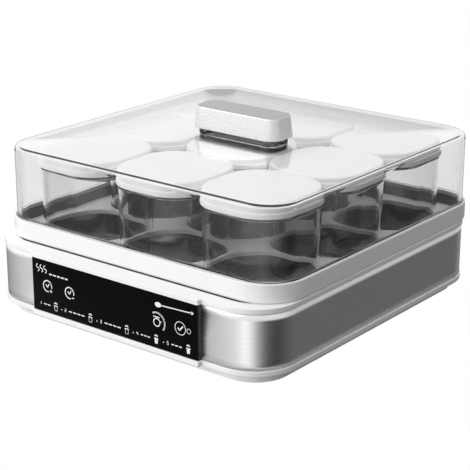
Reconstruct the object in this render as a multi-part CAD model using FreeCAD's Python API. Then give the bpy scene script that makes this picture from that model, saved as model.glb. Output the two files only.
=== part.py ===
import FreeCAD, Part
import math
import os

from FreeCAD import Vector

# A yogurt maker: a steel-banded base with a front control panel, nine glass jars with lids
# standing in a heated tub, and a clear lift-off cover with a raised handle.
# Millimetres. X runs along the panel face, the panel looks along -Y, +Z is up.
# The origin is on the surface the feet stand on, below the middle of the base.

# ---- driving dimensions ----
BODY_HALF_X = 120.0            # steel band, half its width
BODY_HALF_Y = 126.4            # steel band, half its depth
BODY_RADIUS = 31.4             # steel band, corner radius
STEEL_WALL = 1.0
PROUD = 0.6                    # how far the plastic mouldings stand out from the steel
SHELL_WALL = 2.2

PLINTH_INSET = 6.6
PLINTH_BOTTOM_Z = 1.3
PAN_FLOOR_Z = 4.0
PAN_FLOOR_THICKNESS = 2.5
BASE_RING_Z = 8.2
STEEL_BOTTOM_Z = 12.0
STEEL_TOP_Z = 49.4
COLLAR_TOP_Z = 52.9
LIP_HEIGHT = 4.8               # tongues of pan and collar inside the steel band

UPPER_Y = 5.9                  # ring, tub and cover sit this much behind the middle of the base
RING_HALF_X = 120.7
RING_HALF_Y = 122.0
RING_RADIUS = 30.5
RING_BOTTOM_Z = 53.7
RING_TOP_Z = 65.8
RING_SHADOW_INSET = 1.0
RING_BORE_HALF_X = 116.8
RING_BORE_HALF_Y = 117.2
RING_BORE_RADIUS = 25.0

TUB_CLEARANCE = 0.2
TUB_WALL = 1.5
TUB_TOP_Z = 63.8
TUB_LOWER_HALF_X = 111.4
TUB_LOWER_HALF_Y = 112.4
TUB_LOWER_RADIUS = 22.0
TUB_FLOOR_Z = 32.0
TUB_FLOOR_TOP_Z = 33.6

PANEL_LEFT_X = -73.0
PANEL_RIGHT_X = 70.7
PANEL_BOTTOM_Z = STEEL_BOTTOM_Z
PANEL_TOP_Z = STEEL_TOP_Z
PANEL_DEPTH = 3.3
BUTTON_FRONT_Y = -127.3        # front of the touch springs and the display, just behind the housing's face
BOARD_FRONT_Y = -120.9
BOARD_THICKNESS = 1.6
SPIGOT_BACK_Y = -116.0
GLASS_THICKNESS = 0.5
GLASS_MARGIN = 1.2
VISOR_FRONT_Y = -(BODY_HALF_Y + PANEL_DEPTH + PROUD)

JAR_PITCH_X = 71.4
JAR_PITCH_Y = 71.1
JAR_GRID_Y = 4.8
GAP = 0.05                     # rest gap between pieces that lift apart
JAR_BOTTOM_HALF = 32.4
JAR_TOP_HALF = 33.6
JAR_RADIUS_INSET = 9.2         # corner radius is the half width less this
JAR_SHOULDER_Z = 98.6
JAR_FINISH_Z = 100.2
JAR_FINISH_HALF = 32.3
JAR_RIM_Z = 106.3
JAR_WALL = 2.7
JAR_BASE = 5.5
JAR_LID_SKIRT_Z = 100.7
JAR_LID_STEP_Z = 104.4
JAR_LID_TOP_Z = 108.9
JAR_LID_SKIRT_HALF = 34.8
JAR_LID_HALF = 34.3
JAR_LID_RADIUS = 24.8
JAR_LID_BORE_HALF = 33.0
JAR_LID_CEILING_Z = 107.1

TRAY_THICKNESS = 1.7
TRAY_HOLE_HALF = 34.3
TRAY_HOLE_RADIUS = 27.6

COVER_HALF_X = 118.2
COVER_HALF_Y = 118.0
COVER_RADIUS = 24.7
COVER_WALL = 2.2
COVER_TOP_Z = 115.0
COVER_EDGE_RADIUS = 3.5
COVER_FLANGE = 1.5
COVER_FLANGE_THICKNESS = 1.4
COVER_LIP_DEPTH = 1.6

HANDLE_Y = UPPER_Y
NECK_BOTTOM_Z = 109.3
NECK_BOTTOM_HALF = (33.4, 11.0)
NECK_TOP_HALF = (34.2, 11.6)
NECK_RADIUS = 8.0
NECK_WALL = 2.0
TONGUE_HALF = (31.0, 8.6)
TONGUE_RADIUS = 6.0
TONGUE_HEIGHT = 8.0
CAP_BOTTOM_Z = 119.4
CAP_TOP_Z = 134.6
CAP_BOTTOM_HALF = (37.0, 14.0)
CAP_TOP_HALF = (35.2, 12.2)
CAP_RADIUS = 9.5

FOOT_RADIUS = 8.0
FOOT_X = 100.0
FOOT_Y = 78.0
SCREW_POST_X = 96.0
SCREW_POST_Y = 97.0            # from the middle of the tub
SCREW_POST_SPLIT_Z = 18.0
SCREW_RADIUS = 1.4

HEATER_HALF = 80.0
HEATER_THICKNESS = 1.5
ELEMENT_RADIUS = 1.5
ELEMENT_RUNS = 6
ELEMENT_PITCH = 24.0
ELEMENT_HALF_RUN = 58.0
PAD_THICKNESS = 2.8

GLAND_X = 72.0
GLAND_Z = 27.0
GLAND_BORE_RADIUS = 3.4
GLAND_NECK_RADIUS = 6.9
GLAND_HOLE_HALF = 7.0          # the steel is punched square here
GLAND_FLANGE_RADIUS = 10.4     # covers the corners of the square hole
GLAND_END_Y = -VISOR_FRONT_Y   # the sleeve ends as far back as the panel visor stands forward


# ---- shape helpers ----
def outline(half_x, half_y, radius, z, centre_x=0.0, centre_y=0.0):
    """Wire of a rectangle with round corners, lying flat at height z."""
    edges = []
    corners = []
    for quarter in range(4):
        middle = math.radians(45 + 90 * quarter)
        sign_x = 1 if math.cos(middle) > 0 else -1
        sign_y = 1 if math.sin(middle) > 0 else -1
        hub = Vector(centre_x + sign_x * (half_x - radius), centre_y + sign_y * (half_y - radius), z)
        turns = [math.radians(angle + 90 * quarter) for angle in (0, 45, 90)]
        corners.append([hub + Vector(radius * math.cos(t), radius * math.sin(t), 0) for t in turns])
    for index, (start, halfway, end) in enumerate(corners):
        edges.append(Part.Arc(start, halfway, end).toShape())
        following = corners[(index + 1) % 4][0]
        if (following - end).Length > 1e-6:
            edges.append(Part.LineSegment(end, following).toShape())
    return Part.Wire(edges)


def slab(half_x, half_y, radius, bottom, top, centre_x=0.0, centre_y=0.0):
    """Upright block with round vertical edges."""
    face = Part.Face(outline(half_x, half_y, radius, bottom, centre_x, centre_y))
    return face.extrude(Vector(0, 0, top - bottom))


def tapered(bottom_half, bottom_radius, bottom, top_half, top_radius, top, centre_x=0.0, centre_y=0.0):
    """Block with round vertical edges whose half sizes change from bottom to top."""
    low = outline(bottom_half[0], bottom_half[1], bottom_radius, bottom, centre_x, centre_y)
    high = outline(top_half[0], top_half[1], top_radius, top, centre_x, centre_y)
    return Part.makeLoft([low, high], True, True)


def box(low, high):
    """Plain block between two corners."""
    size = [b - a for a, b in zip(low, high)]
    return Part.makeBox(size[0], size[1], size[2], Vector(*low))


def rod(radius, start, end):
    """Cylinder from one point to another."""
    along = Vector(*end) - Vector(*start)
    return Part.makeCylinder(radius, along.Length, Vector(*start), along)


def flat_edges(shape, height):
    """Edges of the shape that lie wholly at one height."""
    level = []
    for edge in shape.Edges:
        bounds = edge.BoundBox
        if abs(bounds.ZMin - height) < 1e-4 and abs(bounds.ZMax - height) < 1e-4:
            level.append(edge)
    return level


def band(half_x, half_y, radius, wall, bottom, top, centre_y=0.0):
    """Upright wall of even thickness along a rounded rectangle."""
    outer = slab(half_x, half_y, radius, bottom, top, centre_y=centre_y)
    return outer.cut(slab(half_x - wall, half_y - wall, radius - wall, bottom, top, centre_y=centre_y))


def body_slab(offset, bottom, top):
    """Block on the body's outline, moved outwards by offset."""
    return slab(BODY_HALF_X + offset, BODY_HALF_Y + offset, BODY_RADIUS + offset, bottom, top)


def body_band(offset, wall, bottom, top):
    """Wall on the body's outline, moved outwards by offset."""
    return body_slab(offset, bottom, top).cut(body_slab(offset - wall, bottom, top))


def screw_places():
    """Middles of the four posts that tie the pan to the tub."""
    return [(sx * SCREW_POST_X, UPPER_Y + sy * SCREW_POST_Y) for sx in (-1, 1) for sy in (-1, 1)]


def foot_places():
    """Foot name and middle, one for each corner."""
    places = {}
    for depth, sign_y in (("front", -1), ("rear", 1)):
        for side, sign_x in (("left", -1), ("right", 1)):
            places["foot_%s_%s" % (depth, side)] = (sign_x * FOOT_X, sign_y * FOOT_Y)
    return places


def jar_places():
    """Middles of the nine jars, row by row from the front left."""
    columns = [JAR_PITCH_X * step for step in (-1, 0, 1)]
    rows = [JAR_GRID_Y + JAR_PITCH_Y * step for step in (-1, 0, 1)]
    return [(x, y) for y in rows for x in columns]


# ---- base ----
def make_foot(x, y):
    pad = Part.makeCylinder(FOOT_RADIUS, PAN_FLOOR_Z, Vector(x, y, 0))
    pad = pad.makeChamfer(0.6, flat_edges(pad, 0.0))
    peg = Part.makeCylinder(2.5, PAN_FLOOR_THICKNESS + 1.5, Vector(x, y, PAN_FLOOR_Z))
    return pad.fuse(peg).removeSplitter()


def make_base_pan():
    floor_top = PAN_FLOOR_Z + PAN_FLOOR_THICKNESS
    pan = body_band(-PLINTH_INSET, 3.0, PLINTH_BOTTOM_Z, BASE_RING_Z)
    pan = pan.fuse(body_slab(-PLINTH_INSET - 2.0, PAN_FLOOR_Z, floor_top))
    pan = pan.fuse(body_band(PROUD, 10.4, BASE_RING_Z, STEEL_BOTTOM_Z))
    pan = pan.fuse(body_band(-STEEL_WALL - 0.4, 1.8, STEEL_BOTTOM_Z, STEEL_BOTTOM_Z + LIP_HEIGHT))
    pan = pan.fuse(box((PANEL_LEFT_X, VISOR_FRONT_Y, BASE_RING_Z),
                       (PANEL_RIGHT_X, -BODY_HALF_Y, PANEL_BOTTOM_Z)))
    for x, y in screw_places():
        pan = pan.fuse(rod(6.0, (x, y, floor_top), (x, y, SCREW_POST_SPLIT_Z)))
    for x, y in board_post_places():
        pan = pan.fuse(rod(3.0, (x, y, floor_top), (x, y, floor_top + 2.5)))
    for x, y in screw_places():
        pan = pan.cut(rod(4.0, (x, y, PAN_FLOOR_Z), (x, y, SCREW_POST_SPLIT_Z - 4.0)))
        pan = pan.cut(rod(SCREW_RADIUS + 0.3, (x, y, PAN_FLOOR_Z), (x, y, SCREW_POST_SPLIT_Z)))
    for x, y in board_post_places():
        pan = pan.cut(rod(1.25, (x, y, floor_top - 1.5), (x, y, floor_top + 2.5)))
    for x, y in foot_places().values():
        pan = pan.cut(rod(2.6, (x, y, PAN_FLOOR_Z), (x, y, floor_top)))
    for step in range(-3, 4):
        vent = slab(1.5, 22.0, 1.499, PAN_FLOOR_Z, floor_top, -40.0 + 8.0 * step, -30.0)
        pan = pan.cut(vent)
    return pan.removeSplitter()


def make_steel_band():
    steel = body_band(0.0, STEEL_WALL, STEEL_BOTTOM_Z, STEEL_TOP_Z)
    front = -BODY_HALF_Y
    steel = steel.cut(box((PANEL_LEFT_X + 4.6, front - 1, 18.0), (PANEL_RIGHT_X - 4.6, front + 3, 44.0)))
    hole = GLAND_HOLE_HALF
    return steel.cut(box((GLAND_X - hole, BODY_HALF_Y - 3, GLAND_Z - hole),
                         (GLAND_X + hole, BODY_HALF_Y + 1, GLAND_Z + hole)))


def make_collar():
    opening = slab(TUB_LOWER_HALF_X + 0.4, TUB_LOWER_HALF_Y + 0.4, TUB_LOWER_RADIUS + 0.4,
                   STEEL_TOP_Z, COLLAR_TOP_Z, centre_y=UPPER_Y)
    collar = body_slab(PROUD, STEEL_TOP_Z, COLLAR_TOP_Z)
    collar = collar.makeFillet(1.2, flat_edges(collar, COLLAR_TOP_Z))
    collar = collar.cut(body_slab(-STEEL_WALL - SHELL_WALL, STEEL_TOP_Z, COLLAR_TOP_Z - 2.0))
    collar = collar.cut(opening)
    collar = collar.fuse(body_band(-STEEL_WALL - 0.4, 1.8, STEEL_TOP_Z - LIP_HEIGHT, STEEL_TOP_Z))
    visor = box((PANEL_LEFT_X, VISOR_FRONT_Y, PANEL_TOP_Z), (PANEL_RIGHT_X, -BODY_HALF_Y, COLLAR_TOP_Z))
    top_front = [e for e in flat_edges(visor, COLLAR_TOP_Z) if abs(e.CenterOfMass.y - VISOR_FRONT_Y) < 1e-6]
    visor = visor.makeFillet(0.9, top_front)
    return collar.fuse(visor).removeSplitter()


def make_rim_ring():
    ring = slab(RING_HALF_X, RING_HALF_Y, RING_RADIUS, RING_BOTTOM_Z, RING_TOP_Z, centre_y=UPPER_Y)
    ring = ring.makeFillet(1.4, flat_edges(ring, RING_TOP_Z))
    inset = RING_SHADOW_INSET
    ring = ring.fuse(slab(RING_HALF_X - inset, RING_HALF_Y - inset, RING_RADIUS - inset,
                          COLLAR_TOP_Z, RING_BOTTOM_Z, centre_y=UPPER_Y))
    bore = slab(RING_BORE_HALF_X, RING_BORE_HALF_Y, RING_BORE_RADIUS,
                COLLAR_TOP_Z, RING_TOP_Z, centre_y=UPPER_Y)
    return ring.cut(bore).removeSplitter()


def make_inner_tub():
    half_x = RING_BORE_HALF_X - TUB_CLEARANCE
    half_y = RING_BORE_HALF_Y - TUB_CLEARANCE
    radius = RING_BORE_RADIUS - TUB_CLEARANCE
    shelf_top = COLLAR_TOP_Z + 1.7
    tub = slab(half_x, half_y, radius, COLLAR_TOP_Z, TUB_TOP_Z, centre_y=UPPER_Y)
    tub = tub.cut(slab(half_x - TUB_WALL, half_y - TUB_WALL, radius - TUB_WALL,
                       shelf_top, TUB_TOP_Z, centre_y=UPPER_Y))
    lower = slab(TUB_LOWER_HALF_X, TUB_LOWER_HALF_Y, TUB_LOWER_RADIUS,
                 TUB_FLOOR_Z, COLLAR_TOP_Z, centre_y=UPPER_Y)
    inside = slab(TUB_LOWER_HALF_X - 1.6, TUB_LOWER_HALF_Y - 1.6, TUB_LOWER_RADIUS - 1.6,
                  TUB_FLOOR_TOP_Z, shelf_top, centre_y=UPPER_Y)
    tub = tub.fuse(lower).cut(inside)
    for x, y in screw_places():
        tub = tub.fuse(rod(4.5, (x, y, SCREW_POST_SPLIT_Z), (x, y, TUB_FLOOR_Z)))
        tub = tub.cut(rod(SCREW_RADIUS + 0.05, (x, y, SCREW_POST_SPLIT_Z), (x, y, TUB_FLOOR_Z - 3.0)))
    return tub.removeSplitter()


def make_base_screws():
    screws = []
    for x, y in screw_places():
        head_bottom = SCREW_POST_SPLIT_Z - 6.0
        head = rod(3.2, (x, y, head_bottom), (x, y, SCREW_POST_SPLIT_Z - 4.0))
        socket = rod(1.3, (x, y, head_bottom), (x, y, head_bottom + 1.2))
        shank = rod(SCREW_RADIUS, (x, y, SCREW_POST_SPLIT_Z - 4.0), (x, y, TUB_FLOOR_Z - 4.0))
        screws.append(head.fuse(shank).cut(socket).removeSplitter())
    return Part.makeCompound(screws)


# ---- heater ----
def make_heating_plate():
    bottom = TUB_FLOOR_Z - HEATER_THICKNESS
    plate = slab(HEATER_HALF, HEATER_HALF, 18.0, bottom, TUB_FLOOR_Z, centre_y=UPPER_Y)
    return plate.cut(rod(6.0, (0.0, UPPER_Y, bottom), (0.0, UPPER_Y, TUB_FLOOR_Z)))


def make_heating_element():
    """Tube heater in a serpentine under the plate."""
    z = TUB_FLOOR_Z - HEATER_THICKNESS - ELEMENT_RADIUS - GAP
    first_y = UPPER_Y - ELEMENT_PITCH * (ELEMENT_RUNS - 1) / 2
    bend = ELEMENT_PITCH / 2
    edges = []
    for run in range(ELEMENT_RUNS):
        y = first_y + ELEMENT_PITCH * run
        side = 1 if run % 2 == 0 else -1
        start = Vector(-side * ELEMENT_HALF_RUN, y, z)
        end = Vector(side * ELEMENT_HALF_RUN, y, z)
        edges.append(Part.LineSegment(start, end).toShape())
        if run < ELEMENT_RUNS - 1:
            crown = Vector(side * (ELEMENT_HALF_RUN + bend), y + bend, z)
            after = Vector(side * ELEMENT_HALF_RUN, y + ELEMENT_PITCH, z)
            edges.append(Part.Arc(end, crown, after).toShape())
    path = Part.Wire(edges)
    ring = Part.makeCircle(ELEMENT_RADIUS, Vector(-ELEMENT_HALF_RUN, first_y, z), Vector(1, 0, 0))
    return path.makePipeShell([Part.Wire(ring)], True, False)


def make_temperature_sensor():
    bottom = TUB_FLOOR_Z - HEATER_THICKNESS - 2 * ELEMENT_RADIUS - GAP
    bead = rod(4.5, (0.0, UPPER_Y, bottom), (0.0, UPPER_Y, TUB_FLOOR_Z))
    return bead.makeFillet(0.8, flat_edges(bead, bottom))


def make_thermal_fuse():
    y = UPPER_Y + ELEMENT_PITCH
    top = TUB_FLOOR_Z - HEATER_THICKNESS
    shell = box((-8.0, y - 2.5, top - 2.8), (8.0, y + 2.5, top))
    return shell.makeFillet(0.6, flat_edges(shell, top - 2.8))


def make_insulation_pad():
    top = TUB_FLOOR_Z - HEATER_THICKNESS - 2 * ELEMENT_RADIUS - 2 * GAP
    return slab(HEATER_HALF + 4.0, HEATER_HALF + 4.0, 20.0, top - PAD_THICKNESS, top, centre_y=UPPER_Y)


# ---- electronics ----
POWER_BOARD = {"low": (14.0, 60.0), "high": (84.0, 106.0), "bottom": 9.0, "thickness": 1.6}


def board_post_places():
    low = POWER_BOARD["low"]
    high = POWER_BOARD["high"]
    return [(x, y) for x in (low[0] + 4, high[0] - 4) for y in (low[1] + 4, high[1] - 4)]


def make_power_board():
    low = POWER_BOARD["low"]
    high = POWER_BOARD["high"]
    bottom = POWER_BOARD["bottom"]
    top = bottom + POWER_BOARD["thickness"]
    board = box((low[0], low[1], bottom), (high[0], high[1], top))
    for x, y in board_post_places():
        board = board.cut(rod(1.4, (x, y, bottom), (x, y, top)))
    transformer = box((24, 70, top), (44, 88, top + 11.5))
    relay = box((50, 66, top), (68, 78, top + 11.0))
    terminals = box((52, 92, top), (70, 102, top + 9.0))
    capacitor = rod(4.5, (34, 98, top), (34, 98, top + 10.5))
    for piece in (transformer, relay, terminals, capacitor):
        board = board.fuse(piece)
    return board.removeSplitter()


def panel_front_y():
    return -(BODY_HALF_Y + PANEL_DEPTH)


TOUCH_KEYS_X = (-48.0, -38.0, 37.5, 49.0)
TOUCH_KEYS_Z = 31.0


def control_post_places():
    """Middles, in X and Z, of the posts behind the panel that carry the control board."""
    return [(x, z) for x in (PANEL_LEFT_X + 12.5, PANEL_RIGHT_X - 12.5) for z in (25.0, 37.5)]


def make_panel_housing():
    front = panel_front_y() + GLASS_THICKNESS
    block = box((PANEL_LEFT_X, front, PANEL_BOTTOM_Z), (PANEL_RIGHT_X, -BODY_HALF_Y, PANEL_TOP_Z))
    upright = [e for e in block.Edges if e.BoundBox.ZLength > 1 and abs(e.CenterOfMass.y - front) < 1e-6]
    block = block.makeFillet(0.8, upright)
    spigot = box((PANEL_LEFT_X + 5.0, -BODY_HALF_Y, 18.4), (PANEL_RIGHT_X - 5.0, SPIGOT_BACK_Y, 43.6))
    hollow = box((PANEL_LEFT_X + 7.2, front + 1.8, 20.6), (PANEL_RIGHT_X - 7.2, SPIGOT_BACK_Y, 41.4))
    housing = block.fuse(spigot).cut(hollow)
    for x, z in control_post_places():
        housing = housing.fuse(rod(3.0, (x, front + 1.8, z), (x, BOARD_FRONT_Y, z)))
        housing = housing.cut(rod(1.25, (x, BOARD_FRONT_Y - 4.5, z), (x, BOARD_FRONT_Y, z)))
    return housing.removeSplitter()


def make_panel_glass():
    front = panel_front_y()
    width = PANEL_RIGHT_X - PANEL_LEFT_X - 2 * GLASS_MARGIN
    height = PANEL_TOP_Z - PANEL_BOTTOM_Z - 2 * GLASS_MARGIN
    centre_x = (PANEL_LEFT_X + PANEL_RIGHT_X) / 2
    sheet = slab(width / 2, height / 2, 1.2, 0.0, GLASS_THICKNESS)
    sheet.rotate(Vector(0, 0, 0), Vector(1, 0, 0), 90)
    sheet.translate(Vector(centre_x, front + GLASS_THICKNESS, (PANEL_BOTTOM_Z + PANEL_TOP_Z) / 2))
    return sheet


def make_display_module():
    return box((-24.0, BUTTON_FRONT_Y, 23.0), (28.0, BOARD_FRONT_Y - GAP, 39.0))


def make_control_board():
    back = BOARD_FRONT_Y + BOARD_THICKNESS
    board = box((PANEL_LEFT_X + 7.8, BOARD_FRONT_Y, 21.2), (PANEL_RIGHT_X - 7.8, back, 40.8))
    for x, z in control_post_places():
        board = board.cut(rod(1.4, (x, BOARD_FRONT_Y, z), (x, back, z)))
    for x in TOUCH_KEYS_X:
        board = board.fuse(rod(3.0, (x, BUTTON_FRONT_Y, TOUCH_KEYS_Z), (x, BOARD_FRONT_Y, TOUCH_KEYS_Z)))
    return board.removeSplitter()


def make_board_screws():
    """Small screws: four behind the control board and four in the power board."""
    screws = []
    back = BOARD_FRONT_Y + BOARD_THICKNESS
    for x, z in control_post_places():
        head = rod(2.4, (x, back, z), (x, back + 1.6, z))
        screws.append(head.fuse(rod(1.2, (x, back - 5.6, z), (x, back, z))).removeSplitter())
    top = POWER_BOARD["bottom"] + POWER_BOARD["thickness"]
    for x, y in board_post_places():
        head = rod(2.4, (x, y, top), (x, y, top + 1.6))
        screws.append(head.fuse(rod(1.2, (x, y, top - 5.0), (x, y, top))).removeSplitter())
    return Part.makeCompound(screws)


def make_cord_gland():
    def ring(radius, start, end):
        return rod(radius, (GLAND_X, start, GLAND_Z), (GLAND_X, end, GLAND_Z))

    inner_face = BODY_HALF_Y - STEEL_WALL
    gland = ring(GLAND_NECK_RADIUS, inner_face - 5.0, BODY_HALF_Y)
    gland = gland.fuse(ring(8.6, inner_face - 2.4, inner_face))
    gland = gland.fuse(ring(GLAND_FLANGE_RADIUS, BODY_HALF_Y, BODY_HALF_Y + 2.0))
    gland = gland.fuse(ring(6.2, BODY_HALF_Y + 2.0, GLAND_END_Y))
    return gland.cut(ring(GLAND_BORE_RADIUS, inner_face - 5.0, GLAND_END_Y)).removeSplitter()


# ---- jars ----
def make_pot_tray():
    bottom = COLLAR_TOP_Z + 1.7
    top = bottom + TRAY_THICKNESS
    inset = TUB_CLEARANCE + TUB_WALL + 0.2
    tray = slab(RING_BORE_HALF_X - inset, RING_BORE_HALF_Y - inset, RING_BORE_RADIUS - inset,
                bottom, top, centre_y=UPPER_Y)
    for x, y in jar_places():
        tray = tray.cut(slab(TRAY_HOLE_HALF, TRAY_HOLE_HALF, TRAY_HOLE_RADIUS, bottom, top, x, y))
    return tray


def square(half):
    """Equal half sizes, for a piece that is square in plan."""
    return (half, half)


def make_jar(x, y):
    base = TUB_FLOOR_TOP_Z + GAP
    trim = JAR_RADIUS_INSET
    body = tapered(square(JAR_BOTTOM_HALF), JAR_BOTTOM_HALF - trim, base,
                   square(JAR_TOP_HALF), JAR_TOP_HALF - trim, JAR_SHOULDER_Z, x, y)
    body = body.makeFillet(2.5, flat_edges(body, base))
    shoulder = tapered(square(JAR_TOP_HALF), JAR_TOP_HALF - trim, JAR_SHOULDER_Z,
                       square(JAR_FINISH_HALF), JAR_FINISH_HALF - trim, JAR_FINISH_Z, x, y)
    finish = slab(JAR_FINISH_HALF, JAR_FINISH_HALF, JAR_FINISH_HALF - trim, JAR_FINISH_Z, JAR_RIM_Z, x, y)
    inside_low = JAR_BOTTOM_HALF - JAR_WALL
    inside_high = JAR_FINISH_HALF - JAR_WALL + 0.9
    inside = tapered(square(inside_low), inside_low - trim, base + JAR_BASE,
                     square(inside_high), inside_high - trim, JAR_RIM_Z, x, y)
    inside = inside.makeFillet(3.0, flat_edges(inside, base + JAR_BASE))
    return body.fuse(shoulder).fuse(finish).cut(inside).removeSplitter()


def make_jar_lid(x, y):
    widen = JAR_LID_SKIRT_HALF - JAR_LID_HALF
    skirt = slab(JAR_LID_SKIRT_HALF, JAR_LID_SKIRT_HALF, JAR_LID_RADIUS + widen,
                 JAR_LID_SKIRT_Z, JAR_LID_STEP_Z, x, y)
    crown = slab(JAR_LID_HALF, JAR_LID_HALF, JAR_LID_RADIUS, JAR_LID_STEP_Z, JAR_LID_TOP_Z, x, y)
    crown = crown.makeFillet(1.5, flat_edges(crown, JAR_LID_TOP_Z))
    bore_radius = JAR_LID_BORE_HALF - (JAR_LID_HALF - JAR_LID_RADIUS)
    inside = slab(JAR_LID_BORE_HALF, JAR_LID_BORE_HALF, bore_radius, JAR_LID_SKIRT_Z, JAR_LID_CEILING_Z, x, y)
    lid = skirt.fuse(crown).cut(inside)
    seal_half = JAR_FINISH_HALF - 0.3
    seal = slab(seal_half, seal_half, seal_half - JAR_RADIUS_INSET, JAR_RIM_Z + GAP, JAR_LID_CEILING_Z, x, y)
    seal_bore = seal_half - 1.4
    seal = seal.cut(slab(seal_bore, seal_bore, seal_bore - JAR_RADIUS_INSET,
                         JAR_RIM_Z + GAP, JAR_LID_CEILING_Z, x, y))
    return lid.fuse(seal).removeSplitter()


# ---- cover ----
def cover_slab(offset, bottom, top):
    """Block on the cover's outline, moved outwards by offset."""
    return slab(COVER_HALF_X + offset, COVER_HALF_Y + offset, COVER_RADIUS + offset,
                bottom, top, centre_y=UPPER_Y)


def neck_outer():
    return tapered(NECK_BOTTOM_HALF, NECK_RADIUS, NECK_BOTTOM_Z, NECK_TOP_HALF, NECK_RADIUS, CAP_BOTTOM_Z,
                   0.0, HANDLE_Y)


def make_cover():
    seat = RING_TOP_Z + GAP
    shell = cover_slab(0.0, seat, COVER_TOP_Z)
    shell = shell.makeFillet(COVER_EDGE_RADIUS, flat_edges(shell, COVER_TOP_Z))
    shell = shell.fuse(cover_slab(COVER_FLANGE, seat, seat + COVER_FLANGE_THICKNESS))
    ceiling = COVER_TOP_Z - COVER_WALL
    hollow = cover_slab(-COVER_WALL, seat + COVER_FLANGE_THICKNESS, ceiling)
    hollow = hollow.makeFillet(COVER_EDGE_RADIUS - COVER_WALL, flat_edges(hollow, ceiling))
    shell = shell.cut(hollow)
    lip_outer = -1.8
    lip_wall = 1.8
    shell = shell.fuse(cover_slab(lip_outer, seat - COVER_LIP_DEPTH, seat))
    shell = shell.cut(cover_slab(lip_outer - lip_wall, seat - COVER_LIP_DEPTH, seat + COVER_FLANGE_THICKNESS))
    return shell.cut(neck_outer()).removeSplitter()


def make_handle_neck():
    neck = neck_outer()
    tongue_top = CAP_BOTTOM_Z + TONGUE_HEIGHT
    tongue = slab(TONGUE_HALF[0], TONGUE_HALF[1], TONGUE_RADIUS, CAP_BOTTOM_Z, tongue_top, 0.0, HANDLE_Y)
    hollow = slab(TONGUE_HALF[0] - NECK_WALL, TONGUE_HALF[1] - NECK_WALL, TONGUE_RADIUS - NECK_WALL,
                  NECK_BOTTOM_Z + NECK_WALL, tongue_top, 0.0, HANDLE_Y)
    return neck.fuse(tongue).cut(hollow).removeSplitter()


def make_handle_cap():
    cap = tapered(CAP_BOTTOM_HALF, CAP_RADIUS, CAP_BOTTOM_Z, CAP_TOP_HALF, CAP_RADIUS - 0.3, CAP_TOP_Z,
                  0.0, HANDLE_Y)
    cap = cap.makeFillet(1.2, flat_edges(cap, CAP_TOP_Z))
    socket = slab(TONGUE_HALF[0] + 0.1, TONGUE_HALF[1] + 0.1, TONGUE_RADIUS + 0.1,
                  CAP_BOTTOM_Z, CAP_BOTTOM_Z + TONGUE_HEIGHT + 1.0, 0.0, HANDLE_Y)
    return cap.cut(socket)


# ---- the whole object ----
def make_parts():
    parts = {
        "base_pan": make_base_pan(),
        "steel_band": make_steel_band(),
        "collar": make_collar(),
        "rim_ring": make_rim_ring(),
        "inner_tub": make_inner_tub(),
        "pot_tray": make_pot_tray(),
        "heating_plate": make_heating_plate(),
        "heating_element": make_heating_element(),
        "temperature_sensor": make_temperature_sensor(),
        "thermal_fuse": make_thermal_fuse(),
        "insulation_pad": make_insulation_pad(),
        "power_board": make_power_board(),
        "control_board": make_control_board(),
        "display_module": make_display_module(),
        "panel_housing": make_panel_housing(),
        "panel_glass": make_panel_glass(),
        "cord_gland": make_cord_gland(),
        "base_screws": make_base_screws(),
        "board_screws": make_board_screws(),
        "cover": make_cover(),
        "handle_neck": make_handle_neck(),
        "handle_cap": make_handle_cap(),
    }
    for name, (x, y) in foot_places().items():
        parts[name] = make_foot(x, y)
    for number, (x, y) in enumerate(jar_places(), start=1):
        parts["jar_%d" % number] = make_jar(x, y)
        parts["jar_lid_%d" % number] = make_jar_lid(x, y)
    return parts


def main():
    os.makedirs("parts", exist_ok=True)
    for name, shape in make_parts().items():
        shape.exportStep("parts/%s.step" % name)
        print(name, "valid" if shape.isValid() else "INVALID", "%.1f cm3" % (shape.Volume / 1000))


main()
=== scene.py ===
import math

import bmesh
import bpy
from mathutils import Matrix, Vector


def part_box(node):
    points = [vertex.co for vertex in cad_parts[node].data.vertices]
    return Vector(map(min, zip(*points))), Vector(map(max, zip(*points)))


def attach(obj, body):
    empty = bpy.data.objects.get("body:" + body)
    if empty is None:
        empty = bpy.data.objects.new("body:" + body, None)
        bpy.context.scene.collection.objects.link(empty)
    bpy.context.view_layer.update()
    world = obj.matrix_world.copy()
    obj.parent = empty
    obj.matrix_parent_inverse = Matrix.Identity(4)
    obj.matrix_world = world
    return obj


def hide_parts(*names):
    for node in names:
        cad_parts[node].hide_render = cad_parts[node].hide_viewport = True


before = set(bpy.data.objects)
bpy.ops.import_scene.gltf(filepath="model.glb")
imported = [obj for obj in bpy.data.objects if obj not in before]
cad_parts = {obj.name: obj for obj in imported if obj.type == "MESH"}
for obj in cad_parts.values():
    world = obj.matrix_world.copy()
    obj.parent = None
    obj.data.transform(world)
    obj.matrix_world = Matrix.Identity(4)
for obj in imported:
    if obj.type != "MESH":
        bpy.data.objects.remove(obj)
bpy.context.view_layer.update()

MM = 0.001


# ---- sizes read from the frame ----
def node_box(name):
    """Lowest and highest corner of a CAD node, in millimetres."""
    low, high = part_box(name)
    return [value / MM for value in low], [value / MM for value in high]


def half_and_middle(name, axis):
    """Half size and middle of a CAD node along one axis, in millimetres."""
    low, high = node_box(name)
    return (high[axis] - low[axis]) / 2, (high[axis] + low[axis]) / 2


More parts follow.
